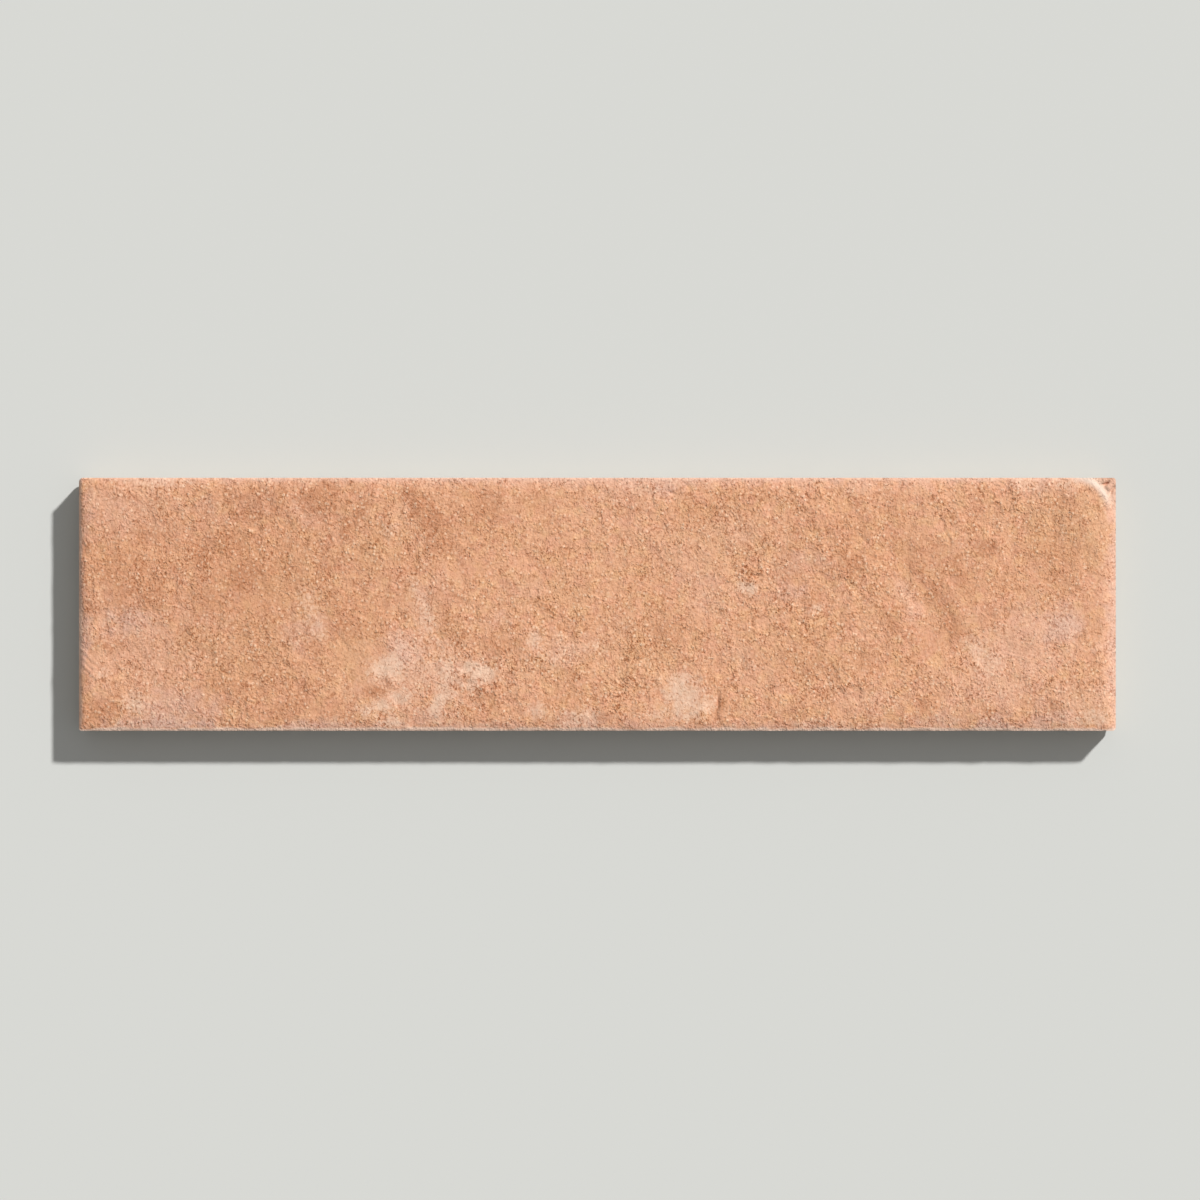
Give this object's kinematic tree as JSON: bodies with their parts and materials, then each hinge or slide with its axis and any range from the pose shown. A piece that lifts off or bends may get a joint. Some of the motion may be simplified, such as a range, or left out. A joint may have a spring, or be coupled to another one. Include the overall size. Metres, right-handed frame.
{
  "type": "porcelain floor tile",
  "caption": "Long brick-format floor tile with a waved sandy terracotta face, worn arrises, one worn corner and a ribbed back.",
  "frame": {"origin": "middle of the back, on the plane that its ribs stand on, under the middle of the tile's outline", "axes": "+X along the tile's length, +Y across it, +Z out of the face; the worn corner is at +X and +Y"},
  "size_m": [0.246, 0.06, 0.009],
  "materials": {
    "fired_clay": "unglazed matt terracotta face with a fine sandy grain and pale blooms, paler biscuit at the worn arrises and the back"
  },
  "bodies": {
    "root": {"tile": "fired_clay"}
  },
  "joints": []
}
